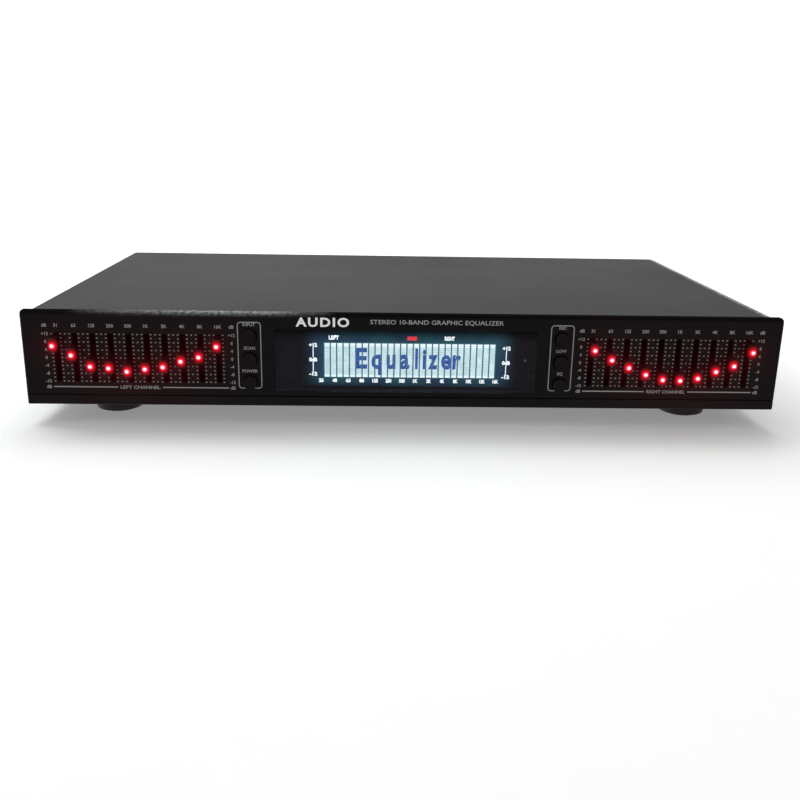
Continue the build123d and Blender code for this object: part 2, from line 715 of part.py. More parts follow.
fuse_back = lip_inside - 26.0
fuse_flange = 8.0
fuse_flange_thick = 2.4
fuse_cap_radius = 6.4
fuse_cap_end = lip_inside + 8.0
with BuildPart() as fuse_holder:
    fuse_face = (fuse_x, lip_inside, fuse_z)
    discs([fuse_face], (0, 1, 0), fuse_flange, fuse_flange_thick)
    discs([fuse_face], (0, 1, 0), fuse_cap_radius, fuse_cap_end - lip_inside)
    fillet(edges(Select.LAST).group_by(Axis.Y)[-1], 0.8)
    with BuildSketch(across(fuse_cap_end)):
        with Locations((fuse_x, fuse_z)):
            Rectangle(9.0, 1.4)
            with PolarLocations(fuse_cap_radius + 0.3, 18):
                Circle(0.7)
    extrude(amount=fuse_cap_end - lip_inside - fuse_flange_thick - 1.0, mode=Mode.SUBTRACT)
    discs([fuse_face], (0, -1, 0), fuse_radius, lip_inside - fuse_back)
    with BuildSketch(across(rear_inside)):
        with Locations((fuse_x, fuse_z)):
            RegularPolygon(fuse_flange + 1.0, 6)
            Circle(fuse_radius + slip, mode=Mode.SUBTRACT)
    extrude(amount=2.5)
save(fuse_holder, "fuse_holder")

# ==== ribbons from the boards in front to the main board, and the mains and supply wires ====
ribbon_thick = 0.9
ribbons = [(-104.0, 10.0), (-88.65, 8.0), (0.0, 32.0), (88.65, 8.0), (150.0, 26.0)]
ribbon_high = 34.0
ribbon_low = 27.0
ribbon_end = 2.0
wire_radius = 1.1
wire_bend = 6.0
ground_z = inlet_z - 2.0
wire_routes = [
    [(inlet_x - 7, tab_end, ground_z), (inlet_x - 7, transformer_y + core_stack / 2 + core_leg, ground_z)],
    [
        (inlet_x + 7, tab_end, ground_z),
        (inlet_x + 7, tab_end - 14, ground_z),
        (fuse_x, tab_end - 14, fuse_z),
        (fuse_x, fuse_back, fuse_z),
    ],
    [
        (transformer_x + 2 * core_leg - window_gap, transformer_y + core_stack / 2 + 4, core_middle),
        (-104.0, transformer_y + core_stack / 2 + 4, core_middle),
        (-104.0, transformer_y + core_stack / 2 + 4, main_board_top),
    ],
    [
        (transformer_x + 2 * core_leg - window_gap, transformer_y - core_stack / 2 - 4, core_middle),
        (-104.0, transformer_y - core_stack / 2 - 4, core_middle),
        (-104.0, transformer_y - core_stack / 2 - 4, main_board_top),
    ],
]
with BuildPart() as internal_wiring:
    for ribbon_x, ribbon_width in ribbons:
        with BuildSketch(Plane.YZ.offset(ribbon_x)):
            with BuildLine():
                FilletPolyline(
                    (board_back, ribbon_high),
                    (board_back + 12, ribbon_high),
                    (board_back + 18, ribbon_low),
                    (ribbon_end, ribbon_low),
                    (ribbon_end, main_board_top),
                    radius=2.4,
                )
            trace(line_width=ribbon_thick)
        extrude(amount=ribbon_width / 2, both=True)
    for route in wire_routes:
        with BuildLine() as wire:
            if len(route) > 2:
                FilletPolyline(*route, radius=wire_bend)
            else:
                Line(*route)
        with BuildSketch(Plane(origin=wire.line @ 0, z_dir=wire.line % 0)):
            Circle(wire_radius)
        sweep(path=wire.line)
save(internal_wiring, "internal_wiring")

# ==== feet with rubber pads, and the screws and nuts that hold them ====
foot_top = 15.0
foot_taper = 8.0
pad_radius = 10.0
pad_thick = 2.0
pad_proud = 1.0
counterbore = 4.0
counterbore_top = 7.0
with BuildPart() as feet:
    with BuildSketch(level(foot_height)):
        with Locations(*foot_points):
            Circle(foot_top)
    extrude(amount=-(foot_height - pad_proud), taper=foot_taper)
    fillet(feet.edges().group_by(Axis.Z)[0], 1.0)
    foot_bottoms = [(x, y, pad_proud) for x, y in foot_points]
    discs(foot_bottoms, (0, 0, 1), pad_radius + slip, pad_thick - pad_proud, Mode.SUBTRACT)
    discs(foot_bottoms, (0, 0, 1), counterbore, counterbore_top - pad_proud, Mode.SUBTRACT)
    discs(foot_bottoms, (0, 0, 1), m3_hole, foot_height - pad_proud, Mode.SUBTRACT)
save(feet, "feet")

with BuildPart() as foot_pads:
    discs([(x, y, 0) for x, y in foot_points], (0, 0, 1), pad_radius, pad_thick)
save(foot_pads, "foot_pads")

with BuildPart() as foot_screws:
    screw_seats = [(x, y, counterbore_top) for x, y in foot_points]
    pan_screws(screw_seats, (0, 0, -1), foot_height - counterbore_top + tray_sheet + 3.2)
    with BuildSketch(level(tray_floor)):
        with Locations(*foot_points):
            RegularPolygon(nut_radius, 6)
            Circle(m3_hole, mode=Mode.SUBTRACT)
    extrude(amount=nut_height)
save(foot_screws, "foot_screws")
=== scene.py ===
import json
import math

import bmesh
import bpy
from mathutils import Matrix, Vector

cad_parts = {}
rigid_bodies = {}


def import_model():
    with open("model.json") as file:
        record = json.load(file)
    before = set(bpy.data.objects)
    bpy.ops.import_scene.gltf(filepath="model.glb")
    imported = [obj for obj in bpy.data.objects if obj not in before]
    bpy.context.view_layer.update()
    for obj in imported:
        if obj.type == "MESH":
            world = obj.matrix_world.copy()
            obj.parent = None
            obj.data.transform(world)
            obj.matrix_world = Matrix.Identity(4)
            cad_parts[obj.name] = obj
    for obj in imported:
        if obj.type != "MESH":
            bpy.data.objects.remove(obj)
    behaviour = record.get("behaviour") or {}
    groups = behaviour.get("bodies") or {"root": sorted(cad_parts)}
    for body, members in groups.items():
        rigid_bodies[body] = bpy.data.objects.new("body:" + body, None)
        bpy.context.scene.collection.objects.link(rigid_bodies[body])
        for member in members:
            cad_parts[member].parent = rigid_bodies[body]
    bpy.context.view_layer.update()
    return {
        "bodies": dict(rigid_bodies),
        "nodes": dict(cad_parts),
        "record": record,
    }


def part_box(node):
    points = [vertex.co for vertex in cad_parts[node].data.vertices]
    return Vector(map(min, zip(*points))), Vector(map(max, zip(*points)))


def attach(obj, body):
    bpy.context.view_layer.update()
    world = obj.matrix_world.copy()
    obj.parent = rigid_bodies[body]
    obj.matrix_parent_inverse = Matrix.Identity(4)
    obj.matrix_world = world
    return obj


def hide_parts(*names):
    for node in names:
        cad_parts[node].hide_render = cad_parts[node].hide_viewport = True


# Looks of a stereo ten-band graphic equalizer. Metres, +Z up, the front panel faces -Y.
MM = 0.001
SEGMENTS = 40       # sides of a turned shape
PRINT = 0.03 * MM   # how far a printed or lit mark stands off its face

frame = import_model()
nodes = frame["nodes"]
record = frame["record"]
scene = bpy.context.scene

panel_low, panel_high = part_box("front_panel")
cover_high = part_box("top_cover")[1]
rear_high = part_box("rear_panel")[1]
tube_low, tube_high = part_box("display_tube")
window_low, window_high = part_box("display_window")
jack_low, jack_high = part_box("phono_jack_barrels")
panel_face = panel_low.y
panel_foot = panel_low.z
tube_face = tube_low.y


# ---- camera ----
CAMERA_SPOT = (-0.0205, -0.6241, 0.1673)
CAMERA_ANGLES = (1.988, 16.858, 1.058)   # azimuth, elevation and roll, in degrees


def look_through_camera():
    """A view from in front, a little to the left of the middle and from above the lid."""
    azimuth, elevation, roll = (math.radians(angle) for angle in CAMERA_ANGLES)
    forward = Vector((
        math.sin(azimuth) * math.cos(elevation),
        math.cos(azimuth) * math.cos(elevation),
        -math.sin(elevation),
    ))
    right = Vector((math.cos(azimuth), -math.sin(azimuth), 0))
    up = right.cross(forward)
    across = math.cos(roll) * right + math.sin(roll) * up
    upward = math.cos(roll) * up - math.sin(roll) * right
    camera = bpy.data.objects.new("camera", bpy.data.cameras.new("camera"))
    camera.data.lens = 40.96
    camera.data.sensor_width = 36.0
    camera.data.clip_start = 0.01
    scene.collection.objects.link(camera)
    turn = Matrix((across, upward, -forward)).transposed().to_4x4()
    camera.matrix_world = Matrix.Translation(CAMERA_SPOT) @ turn
    scene.camera = camera


look_through_camera()


# ---- materials ----
def link(tree, source, target):
    """Joins an output to an input; source may be (node, output name)."""
    node, name = source
    tree.links.new(node.outputs[name], target)


def blank(name):
    """A material with a Principled shader: (material, tree, shader)."""
    made = bpy.data.materials.new(name)
    made.use_nodes = True
    tree = made.node_tree
    tree.nodes.clear()
    shader = tree.nodes.new("ShaderNodeBsdfPrincipled")
    output = tree.nodes.new("ShaderNodeOutputMaterial")
    link(tree, (shader, "BSDF"), output.inputs["Surface"])
    return made, tree, shader


def place(tree, stretch=(1, 1, 1)):
    """The object's own coordinates, stretched."""
    coordinates = tree.nodes.new("ShaderNodeTexCoord")
    mapping = tree.nodes.new("ShaderNodeMapping")
    mapping.inputs["Scale"].default_value = stretch
    link(tree, (coordinates, "Object"), mapping.inputs["Vector"])
    return mapping


def noise(tree, where, scale, detail=3.0, rough=0.55):
    """A noise texture whose features are about 1/scale metres across."""
    made = tree.nodes.new("ShaderNodeTexNoise")
    made.inputs["Scale"].default_value = scale
    made.inputs["Detail"].default_value = detail
    made.inputs["Roughness"].default_value = rough
    link(tree, (where, "Vector"), made.inputs["Vector"])
    return made


def maths(tree, kind, first, second=None, clamp=False):
    """A Math node; each operand is a number or (node, output name)."""
    made = tree.nodes.new("ShaderNodeMath")
    made.operation = kind
    made.use_clamp = clamp
    for socket, value in zip(made.inputs, (first, second)):
        if isinstance(value, tuple):
            link(tree, value, socket)
        elif value is not None:
            socket.default_value = value
    return made, "Value"


def ramp(tree, source, stops):
    """A colour ramp with (position, colour) stops."""
    made = tree.nodes.new("ShaderNodeValToRGB")
    elements = made.color_ramp.elements
    while len(elements) < len(stops):
        elements.new(0.5)
    for element, (position, colour) in zip(elements, stops):
        element.position = position
        element.color = (*colour, 1.0)
    link(tree, source, made.inputs["Fac"])
    return made, "Color"


def spread_of(tree, source, low, high, start=0.3, end=0.7, smooth=False):
    """Maps start..end of the source to low..high."""
    made = tree.nodes.new("ShaderNodeMapRange")
    if smooth:
        made.interpolation_type = "SMOOTHSTEP"
    link(tree, source, made.inputs["Value"])
    for name, value in (("From Min", start), ("From Max", end), ("To Min", low), ("To Max", high)):
        made.inputs[name].default_value = value
    return made, "Result"


def length_of(tree, source):
    """The length of a vector output."""
    made = tree.nodes.new("ShaderNodeVectorMath")
    made.operation = "LENGTH"
    link(tree, source, made.inputs[0])
    return made, "Value"


def scaled(colour, factor):
    """A colour made lighter or darker."""
    return tuple(min(1.0, part * factor) for part in colour)


def edge_wear_and_highlight_mask(tree, radius):
    """0 on flat faces and towards 1 on edges, from how far a bevelled normal leans."""
    bevel = tree.nodes.new("ShaderNodeBevel")
    bevel.samples = 4
    bevel.inputs["Radius"].default_value = radius
    geometry = tree.nodes.new("ShaderNodeNewGeometry")
    dot = tree.nodes.new("ShaderNodeVectorMath")
    dot.operation = "DOT_PRODUCT"
    link(tree, (bevel, "Normal"), dot.inputs[0])
    link(tree, (geometry, "Normal"), dot.inputs[1])
    return spread_of(tree, (dot, "Value"), 1.0, 0.0, 0.8, 0.99)


def mixed(tree, factor, first, second):
    """A colour mix; first and second are colours or (node, output name)."""
    made = tree.nodes.new("ShaderNodeMix")
    made.data_type = "RGBA"
    link(tree, factor, made.inputs[0])
    for socket, value in ((made.inputs[6], first), (made.inputs[7], second)):
        if isinstance(value[0], bpy.types.Node):
            link(tree, value, socket)
        else:
            socket.default_value = (*value, 1.0)
    return made, "Result"


def mix_out(pair):
    """The colour output of a Mix node, which shares its name with the number and vector outputs."""
    return pair[0].outputs[2]


def finish_of(
    name,
    colour,
    rough,
    grain=1500.0,
    spread=0.15,
    rough_spread=0.08,
    relief=0.01,
    metal=0.0,
    specular=0.5,
    stretch=(1, 1, 1),
    blotch=20.0,
    coat=0.0,
    edge=0.0,
    edge_colour=None,
):
    """A surface with fine grain, slow blotches in colour and gloss, and relief in millimetres."""
    made, tree, shader = blank(name)
    fine = noise(tree, place(tree, stretch), grain, 4.0)
    broad = noise(tree, place(tree), blotch, 3.0)
    half = maths(tree, "MULTIPLY", (fine, "Fac"), 0.55)
    rest = maths(tree, "MULTIPLY", (broad, "Fac"), 0.45)
    both = maths(tree, "ADD", half, rest)
    shade = ramp(tree, both, [(0.35, scaled(colour, 1 - spread)), (0.65, scaled(colour, 1 + spread))])
    if edge > 0:
        # Edges are mixed towards a lighter colour: partly wear, partly a painted highlight where edges catch
        # the light.
        edge_wear_and_highlight = maths(tree, "MULTIPLY", edge_wear_and_highlight_mask(tree, edge * MM), both)
        shaded = mixed(tree, edge_wear_and_highlight, shade, edge_colour)
        tree.links.new(mix_out(shaded), shader.inputs["Base Color"])
    else:
        link(tree, shade, shader.inputs["Base Color"])
    link(tree, spread_of(tree, both, rough - rough_spread, rough + rough_spread), shader.inputs["Roughness"])
    bump = tree.nodes.new("ShaderNodeBump")
    bump.inputs["Strength"].default_value = 1.0
    bump.inputs["Distance"].default_value = relief * MM
    link(tree, (fine, "Fac"), bump.inputs["Height"])
    link(tree, (bump, "Normal"), shader.inputs["Normal"])
    shader.inputs["Metallic"].default_value = metal
    shader.inputs["Specular IOR Level"].default_value = specular
    shader.inputs["Coat Weight"].default_value = coat
    shader.inputs["Coat Roughness"].default_value = 0.08
    return made, tree, shader


def recoloured(tree, shader, mask, colour):
    """The same surface, changed to another colour, or to a Mix node's, where the mask is 1."""
    plain = shader.inputs["Base Color"].links[0].from_socket
    shown = tree.nodes.new("ShaderNodeMix")
    shown.data_type = "RGBA"
    link(tree, mask, shown.inputs[0])
    tree.links.new(plain, shown.inputs[6])
    if isinstance(colour[0], bpy.types.Node):
        tree.links.new(mix_out(colour), shown.inputs[7])
    else:
        shown.inputs[7].default_value = (*colour, 1.0)
    tree.links.new(shown.outputs[2], shader.inputs["Base Color"])


def axis_of(tree, axis):
    """One of the object's own coordinates, in metres."""
    parts = tree.nodes.new("ShaderNodeSeparateXYZ")
    link(tree, (place(tree), "Vector"), parts.inputs["Vector"])
    return parts, axis


def lamp_of(name, colour, strength, ripple=0.12, grain=900.0):
    """A lit segment: steady light with a slight ripple from one spot to the next."""
    made, tree, shader = blank(name)
    fine = noise(tree, place(tree), grain, 2.0)
    lit = ramp(tree, (fine, "Fac"), [(0.3, scaled(colour, 1 - ripple)), (0.7, colour)])
    link(tree, lit, shader.inputs["Emission Color"])
    link(tree, lit, shader.inputs["Base Color"])
    shader.inputs["Emission Strength"].default_value = strength
    shader.inputs["Roughness"].default_value = 0.5
    return made, tree, shader


def panel_finish():
    """Black anodising, satin in front, dull in the slots and holes, with a painted highlight along part of
    the top edge and a lower lip painted lighter as sheen.
    """
    made, tree, shader = finish_of(
        "anodised_panel", (0.0065, 0.0065, 0.0072), 0.4, grain=2600.0, spread=0.22, rough_spread=0.06,
        relief=0.006, specular=0.4, blotch=14.0, edge=0.35, edge_colour=(0.03, 0.03, 0.032),
    )
    depth = panel_face + 0.3 * MM
    inside = spread_of(tree, axis_of(tree, "Y"), 1.0, 0.0, depth, depth + 0.3 * MM)
    # Painted highlight: a speckled lighter strip on the rounded top edge, over part of the left half, stands
    # in for light caught there.
    upper = spread_of(tree, axis_of(tree, "Z"), 0.0, 1.0, panel_high.z - 2.4 * MM, panel_high.z - 0.5 * MM)
    begin = spread_of(tree, axis_of(tree, "X"), 0.0, 1.0, panel_low.x + 25 * MM, panel_low.x + 95 * MM)
    finish = spread_of(tree, axis_of(tree, "X"), 1.0, 0.0, panel_low.x + 130 * MM, panel_low.x + 175 * MM)
    stretch = maths(tree, "MULTIPLY", begin, finish)
    specks = spread_of(tree, (noise(tree, place(tree), 500.0, 3.0), "Fac"), 0.35, 1.0, 0.4, 0.6)
    painted_top_highlight = maths(tree, "MULTIPLY", maths(tree, "MULTIPLY", stretch, upper), specks)
    recoloured(tree, shader, painted_top_highlight, (0.32, 0.33, 0.33))
    # Painted sheen: the lip below the groove is made a little lighter, as if it catches more light.
    painted_lip_sheen = spread_of(tree, axis_of(tree, "Z"), 1.0, 0.0, panel_low.z + 5.4 * MM, panel_low.z + 6.2 * MM)
    recoloured(tree, shader, painted_lip_sheen, (0.0108, 0.0104, 0.0112))
    satin = maths(tree, "MULTIPLY", inside, maths(tree, "SUBTRACT", 1.0, upper))
    link(tree, maths(tree, "MULTIPLY", satin, 0.27), shader.inputs["Specular IOR Level"])
    return made


def powder_coat(name, colour, specular, relief):
    """Painted sheet steel, a little lighter on its edges: partly wear, partly a painted highlight."""
    return finish_of(
        name, colour, 0.46, grain=1500.0, spread=0.28, rough_spread=0.1, relief=relief, specular=specular,
        blotch=9.0, edge=0.5, edge_colour=scaled(colour, 2.4),
    )


def lid_finish():
    """Powder-coated lid, with a painted highlight along the right-hand bend."""
    made, tree, shader = powder_coat("powder_coated_lid", (0.021, 0.0226, 0.0222), 0.042, 0.03)
    # Painted highlight: a speckled light strip along the right-hand bend stands in for the light the bend
    # catches.
    side = spread_of(tree, axis_of(tree, "X"), 0.0, 1.0, cover_high.x - 5.4 * MM, cover_high.x - 4.8 * MM)
    top = spread_of(tree, axis_of(tree, "Z"), 0.0, 1.0, cover_high.z - 2.6 * MM, cover_high.z - 1.6 * MM)
    specks = spread_of(tree, (noise(tree, place(tree), 320.0, 4.0), "Fac"), 0.25, 1.0, 0.35, 0.55)
    painted_bend_highlight = maths(tree, "MULTIPLY", maths(tree, "MULTIPLY", side, top), specks)
    recoloured(tree, shader, painted_bend_highlight, (0.27, 0.27, 0.27))
    return made


def window_finish():
    """Smoked acrylic: near-black, with painted shade darkening its top, polished, and clear enough for the
    lit display.
    """
    made, tree, shader = finish_of(
        "smoked_acrylic", (0.075, 0.071, 0.098), 0.09, grain=500.0, spread=0.2, rough_spread=0.03,
        relief=0.001, specular=0.3, blotch=30.0,
    )
    # Painted shade: the window's top few millimetres are darkened, as if in shadow.
    rise = spread_of(
        tree, axis_of(tree, "Z"), 0.0, 1.0, window_high.z - 8.0 * MM, window_high.z - 1.0 * MM, smooth=True,
    )
    recoloured(tree, shader, rise, (0.012, 0.011, 0.016))
    face = window_low.y + 0.2 * MM
    polish = spread_of(tree, axis_of(tree, "Y"), 0.3, 0.0, face, face + 0.2 * MM)
    link(tree, polish, shader.inputs["Specular IOR Level"])
    shader.inputs["Alpha"].default_value = 0.5
    return made


JACK_RED = (0.42, 0.012, 0.012)
JACK_WHITE = (0.62, 0.61, 0.57)


def jack_finish():
    """Moulded jack plastic: black block, and white or red where it shows outside the rear panel."""
    made, tree, shader = finish_of("jack_plastic", (0.02, 0.02, 0.02), 0.38, grain=1200.0, relief=0.004)
    back = maths(tree, "GREATER_THAN", axis_of(tree, "Y"), rear_high.y + 0.1 * MM)
    upper = maths(tree, "GREATER_THAN", axis_of(tree, "Z"), (jack_low.z + jack_high.z) / 2)
    recoloured(tree, shader, back, mixed(tree, upper, JACK_RED, JACK_WHITE))
    return made


def pot_finish():
    """Plated can with a black face towards the slots."""
    made, tree, shader = finish_of(
        "plated_can", (0.5, 0.5, 0.48), 0.35, grain=900.0, metal=1.0, stretch=(1, 1, 0.1), relief=0.004,
    )
    pots_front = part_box("slider_pots_left")[0].y
    face = maths(tree, "LESS_THAN", axis_of(tree, "Y"), pots_front + 0.4 * MM)
    recoloured(tree, shader, face, (0.004, 0.004, 0.004))
    link(tree, maths(tree, "SUBTRACT", 1.0, face), shader.inputs["Metallic"])
    return made


finishes = {
    "panel": panel_finish(),
    "cover": lid_finish(),
    "tray": powder_coat("powder_coated_tray", (0.03, 0.03, 0.031), 0.4, 0.03)[0],
    "rear": powder_coat("painted_rear", (0.02, 0.02, 0.0215), 0.4, 0.012)[0],
    "black_screw": finish_of("black_zinc", (0.05, 0.05, 0.055), 0.32, metal=0.9, relief=0.006)[0],
    "zinc_screw": finish_of("zinc_plate", (0.6, 0.6, 0.57), 0.3, metal=1.0, relief=0.006)[0],
    "window": window_finish(),
    "tube": finish_of(
        "display_glass", (0.004, 0.007, 0.009), 0.1, grain=300.0, specular=0.3, relief=0.001,
    )[0],
    "board": finish_of("circuit_board", (0.02, 0.12, 0.05), 0.4, grain=400.0, spread=0.35, coat=0.4)[0],
    "pot": pot_finish(),
    "switch": finish_of("switch_body", (0.02, 0.02, 0.02), 0.5, grain=1800.0)[0],
    "sensor": finish_of("dark_epoxy", (0.02, 0.012, 0.018), 0.12, coat=0.6, relief=0.001)[0],
    "chip": finish_of("chip_epoxy", (0.02, 0.02, 0.02), 0.55, grain=2500.0)[0],
    "capacitor": finish_of("capacitor_sleeve", (0.02, 0.03, 0.09), 0.3, coat=0.3)[0],
    "heat_sink": finish_of("extruded_aluminium", (0.5, 0.5, 0.5), 0.35, metal=1.0, stretch=(1, 1, 0.05))[0],
    "transformer": finish_of("varnished_core", (0.2, 0.15, 0.08), 0.45, grain=700.0, spread=0.3)[0],
    "wire": finish_of("wire_insulation", (0.32, 0.32, 0.33), 0.45, relief=0.004)[0],
    "jack_plastic": jack_finish(),
    "jack_metal": finish_of(
        "bright_nickel", (0.78, 0.72, 0.6), 0.16, grain=800.0, spread=0.08, rough_spread=0.05, metal=1.0,
        relief=0.002,
    )[0],
    "inlet_plastic": finish_of("inlet_plastic", (0.014, 0.014, 0.014), 0.42, grain=1600.0, relief=0.01)[0],
    "blade": finish_of("nickel_blade", (0.68, 0.66, 0.58), 0.25, metal=1.0, relief=0.003)[0],
    "foot": finish_of("foot_plastic", (0.02, 0.02, 0.02), 0.5, grain=1400.0, relief=0.015)[0],
    "pad": finish_of("foot_rubber", (0.022, 0.022, 0.022), 0.85, grain=1100.0, relief=0.03, specular=0.25)[0],
    "button": finish_of("button_plastic", (0.004, 0.004, 0.0044), 0.24, relief=0.004, specular=0.3)[0],
    "slider": finish_of("slider_plastic", (0.012, 0.01, 0.011), 0.4)[0],
}
for part in record["subparts"]:
    mesh = nodes[part["node"]].data
    mesh.materials.clear()
    mesh.materials.append(finishes[part["material_slot"]])


# ---- building small shapes ----
def add_block(bm, low, high, index=0):
    """A box from one corner to the other."""
    corners = [
        bm.verts.new((x, y, z))
        for x in (low[0], high[0])
        for y in (low[1], high[1])
        for z in (low[2], high[2])
    ]
    for turn in ((0, 1, 3, 2), (4, 6, 7, 5), (0, 4, 5, 1), (2, 3, 7, 6), (0, 2, 6, 4), (1, 5, 7, 3)):
        face = bm.faces.new([corners[i] for i in turn])
        face.material_index = index


def add_turned(bm, profile, index=0, sides=SEGMENTS, upright=False):
    """A shape turned about Y, or about Z if upright; the profile is (radius, place on the axis)."""
    rings = []
    for radius, along in profile:
        angles = [2 * math.pi * i / sides for i in range(sides if radius > 0 else 1)]
        flat = [(radius * math.cos(a), radius * math.sin(a)) for a in angles]
        rings.append([bm.verts.new((x, z, along) if upright else (x, along, z)) for x, z in flat])
    for first, second in zip(rings, rings[1:]):
        for i in range(sides):
            turn = ((first, i), (first, i + 1), (second, i + 1), (second, i))
            corners = [ring[k % len(ring)] for ring, k in turn]
            face = bm.faces.new(list(dict.fromkeys(corners)))
            face.material_index = index


def as_piece(bm, name, materials, sharp=35.0):
    """An object from the shape, smooth except across sharp edges."""
    bmesh.ops.recalc_face_normals(bm, faces=bm.faces)
    for face in bm.faces:
        face.smooth = True
    for edge in bm.edges:
        if edge.calc_face_angle(math.pi) > math.radians(sharp):
            edge.smooth = False
    mesh = bpy.data.meshes.new(name)
    bm.to_mesh(mesh)
    bm.free()
    for material in materials:
        mesh.materials.append(material)
    made = bpy.data.objects.new(name, mesh)
    scene.collection.objects.link(made)
    return made


# ---- prints: thin shapes on a face, laid out as the viewer sees that face ----
FRONT = Matrix.Rotation(math.pi / 2, 4, "X")
BACK = Matrix.Rotation(math.pi, 4, "Z") @ FRONT
LETTER_DEEP = 0.008   # in units of type size


def text_mesh(words, spacing=1.0, weight=0.0):
    """The letters as a thin shape, one unit of type size, standing on the line y = 0."""
    curve = bpy.data.curves.new("words", "FONT")
    curve.body = words
    curve.space_character = spacing
    curve.offset = weight
    curve.resolution_u = 3
    curve.extrude = LETTER_DEEP / 2
    holder = bpy.data.objects.new("words", curve)
    scene.collection.objects.link(holder)
    bpy.context.view_layer.update()
    evaluated = holder.evaluated_get(bpy.context.evaluated_depsgraph_get())
    mesh = bpy.data.meshes.new_from_object(evaluated)
    bpy.data.objects.remove(holder)
    return mesh


def reach_of(mesh, axis):
    """The least and greatest of the mesh's coordinates along one axis."""
    values = [vertex.co[axis] for vertex in mesh.vertices]
    return min(values), max(values)


capital = reach_of(text_mesh("H"), 1)[1]   # its height, in units of type size


class Print:
    """Collects flat marks on one face of the unit; u runs to the viewer's right and v up."""

    def __init__(self, facing, face_y):
        self.bm = bmesh.new()
        self.to_row = Matrix.Translation((0, face_y, 0)) @ facing

    def words(self, text, u, v, tall, wide=None, spacing=1.0, weight=0.0):
        """Letters about (u, v): tall is the height of a capital, wide the length of the whole word."""
        mesh = text_mesh(text, spacing, weight)
        left, right = reach_of(mesh, 0)
        up = tall / capital
        sideways = up if wide is None else wide / (right - left)
        flat = Matrix.Diagonal((sideways, up, PRINT / LETTER_DEEP, 1.0))
        start = Matrix.Translation((u - sideways * (left + right) / 2, v - tall / 2, PRINT / 2))
        mesh.transform(self.to_row @ start @ flat)
        self.bm.from_mesh(mesh)
        bpy.data.meshes.remove(mesh)

    def bar(self, u0, v0, u1, v1):
        """A filled rectangle from one corner to the other."""
        shape = bmesh.new()
        add_block(shape, (u0, v0, 0), (u1, v1, PRINT))
        mesh = bpy.data.meshes.new("bar")
        shape.to_mesh(mesh)
        shape.free()
        mesh.transform(self.to_row)
        self.bm.from_mesh(mesh)
        bpy.data.meshes.remove(mesh)

    def outline(self, u, v, wide, tall, line, radius):
        """A rounded rectangle's outline about (u, v)."""
        self.bar(u - wide / 2, v - tall / 2 + radius, u - wide / 2 + line, v + tall / 2 - radius)
        self.bar(u + wide / 2 - line, v - tall / 2 + radius, u + wide / 2, v + tall / 2 - radius)
        self.bar(u - wide / 2 + radius, v - tall / 2, u + wide / 2 - radius, v - tall / 2 + line)
        self.bar(u - wide / 2 + radius, v + tall / 2 - line, u + wide / 2 - radius, v + tall / 2)
        steps = 6
        for across in (-1, 1):
            for upward in (-1, 1):
                middle_u = u + across * (wide / 2 - radius)
                middle_v = v + upward * (tall / 2 - radius)
                inner, outer = [], []
                for i in range(steps + 1):
                    angle = math.pi / 2 * i / steps
                    direction = (across * math.cos(angle), upward * math.sin(angle))
                    for ring, reach in ((inner, radius - line), (outer, radius)):
                        spot = (middle_u + reach * direction[0], middle_v + reach * direction[1], PRINT)
                        ring.append(self.bm.verts.new(self.to_row @ Vector(spot)))
                for i in range(steps):
                    self.bm.faces.new((inner[i], outer[i], outer[i + 1], inner[i + 1]))

    def piece(self, name, material):
        """Ends the print: one object, fixed to the chassis."""
        made = as_piece(self.bm, name, [material])
        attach(made, "chassis")
        return made


def ink(name, colour):
    """Screen-printed ink."""
    return finish_of(name, colour, 0.5, grain=3000.0, spread=0.12, relief=0.002, specular=0.3)[0]


ink_dots = ink("ink_dots", (0.6, 0.6, 0.59))
ink_grey = ink("ink_grey", (0.75, 0.75, 0.74))
ink_white = ink("ink_white", (0.85, 0.85, 0.83))
dots = Print(FRONT, panel_face)
legends = Print(FRONT, panel_face)
title = Print(FRONT, panel_face)

# ---- legends of the two banks ----
banks = {"left": [], "right": []}
for body in frame["bodies"]:
    for bank in banks:
        if body.startswith(f"slider_{bank}_"):
            low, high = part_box(body)
            banks[bank].append(((low.x + high.x) / 2, body))
band_names = ["31", "63", "125", "250", "500", "1K", "2K", "4K", "8K", "16K"]
gain_names = ["-12", "-8", "-4", "0", "4", "8", "+12"]
SMALL_TYPE, TINY_TYPE, SMALL_WEIGHT = 1.8 * MM, 1.7 * MM, 0.02
band_line = panel_foot + 46.0 * MM
channel_line = panel_foot + 10.5 * MM
channel_rule = (panel_foot + 10.2 * MM, panel_foot + 10.85 * MM)
word_half = 12.6 * MM
row_low = panel_foot + 13.8 * MM
row_step = 2.28 * MM
row_count = 13
slot_side = 2.5 * MM
dot_half = 0.45 * MM
dot_rise = 0.32 * MM
for bank in banks:
    columns = sorted(x for x, body in banks[bank])
    pitch = columns[1] - columns[0]
    for x, label in zip(columns, band_names):
        legends.words(label, x, band_line, SMALL_TYPE, weight=SMALL_WEIGHT)
    for x in (columns[0] - 6.2 * MM, columns[-1] + 7.4 * MM):
        legends.words("dB", x, band_line, SMALL_TYPE, weight=SMALL_WEIGHT)
        legends.words("dB", x, channel_line, SMALL_TYPE, weight=SMALL_WEIGHT)
        for i, gain in enumerate(gain_names):
            legends.words(gain, x, row_low + i * 2 * row_step, TINY_TYPE, weight=SMALL_WEIGHT)
    for row in range(row_count):
        v = row_low + row * row_step
        spots = [x + side * slot_side for x in columns for side in (-1, 1)]
        if row % 2 == 0:
            spots += [x + pitch / 2 for x in columns[:-1]]
        for spot in spots:
            dots.bar(spot - dot_half, v - dot_rise, spot + dot_half, v + dot_rise)
    centre = (columns[0] + columns[-1]) / 2
    for u0, u1 in ((centre - 48.6 * MM, centre - word_half), (centre + word_half, centre + 50.0 * MM)):
        legends.bar(u0, channel_rule[0], u1, channel_rule[1])
    legends.words(
        f"{bank.upper()} CHANNEL", centre, channel_line, SMALL_TYPE, wide=22.5 * MM, weight=SMALL_WEIGHT,
    )

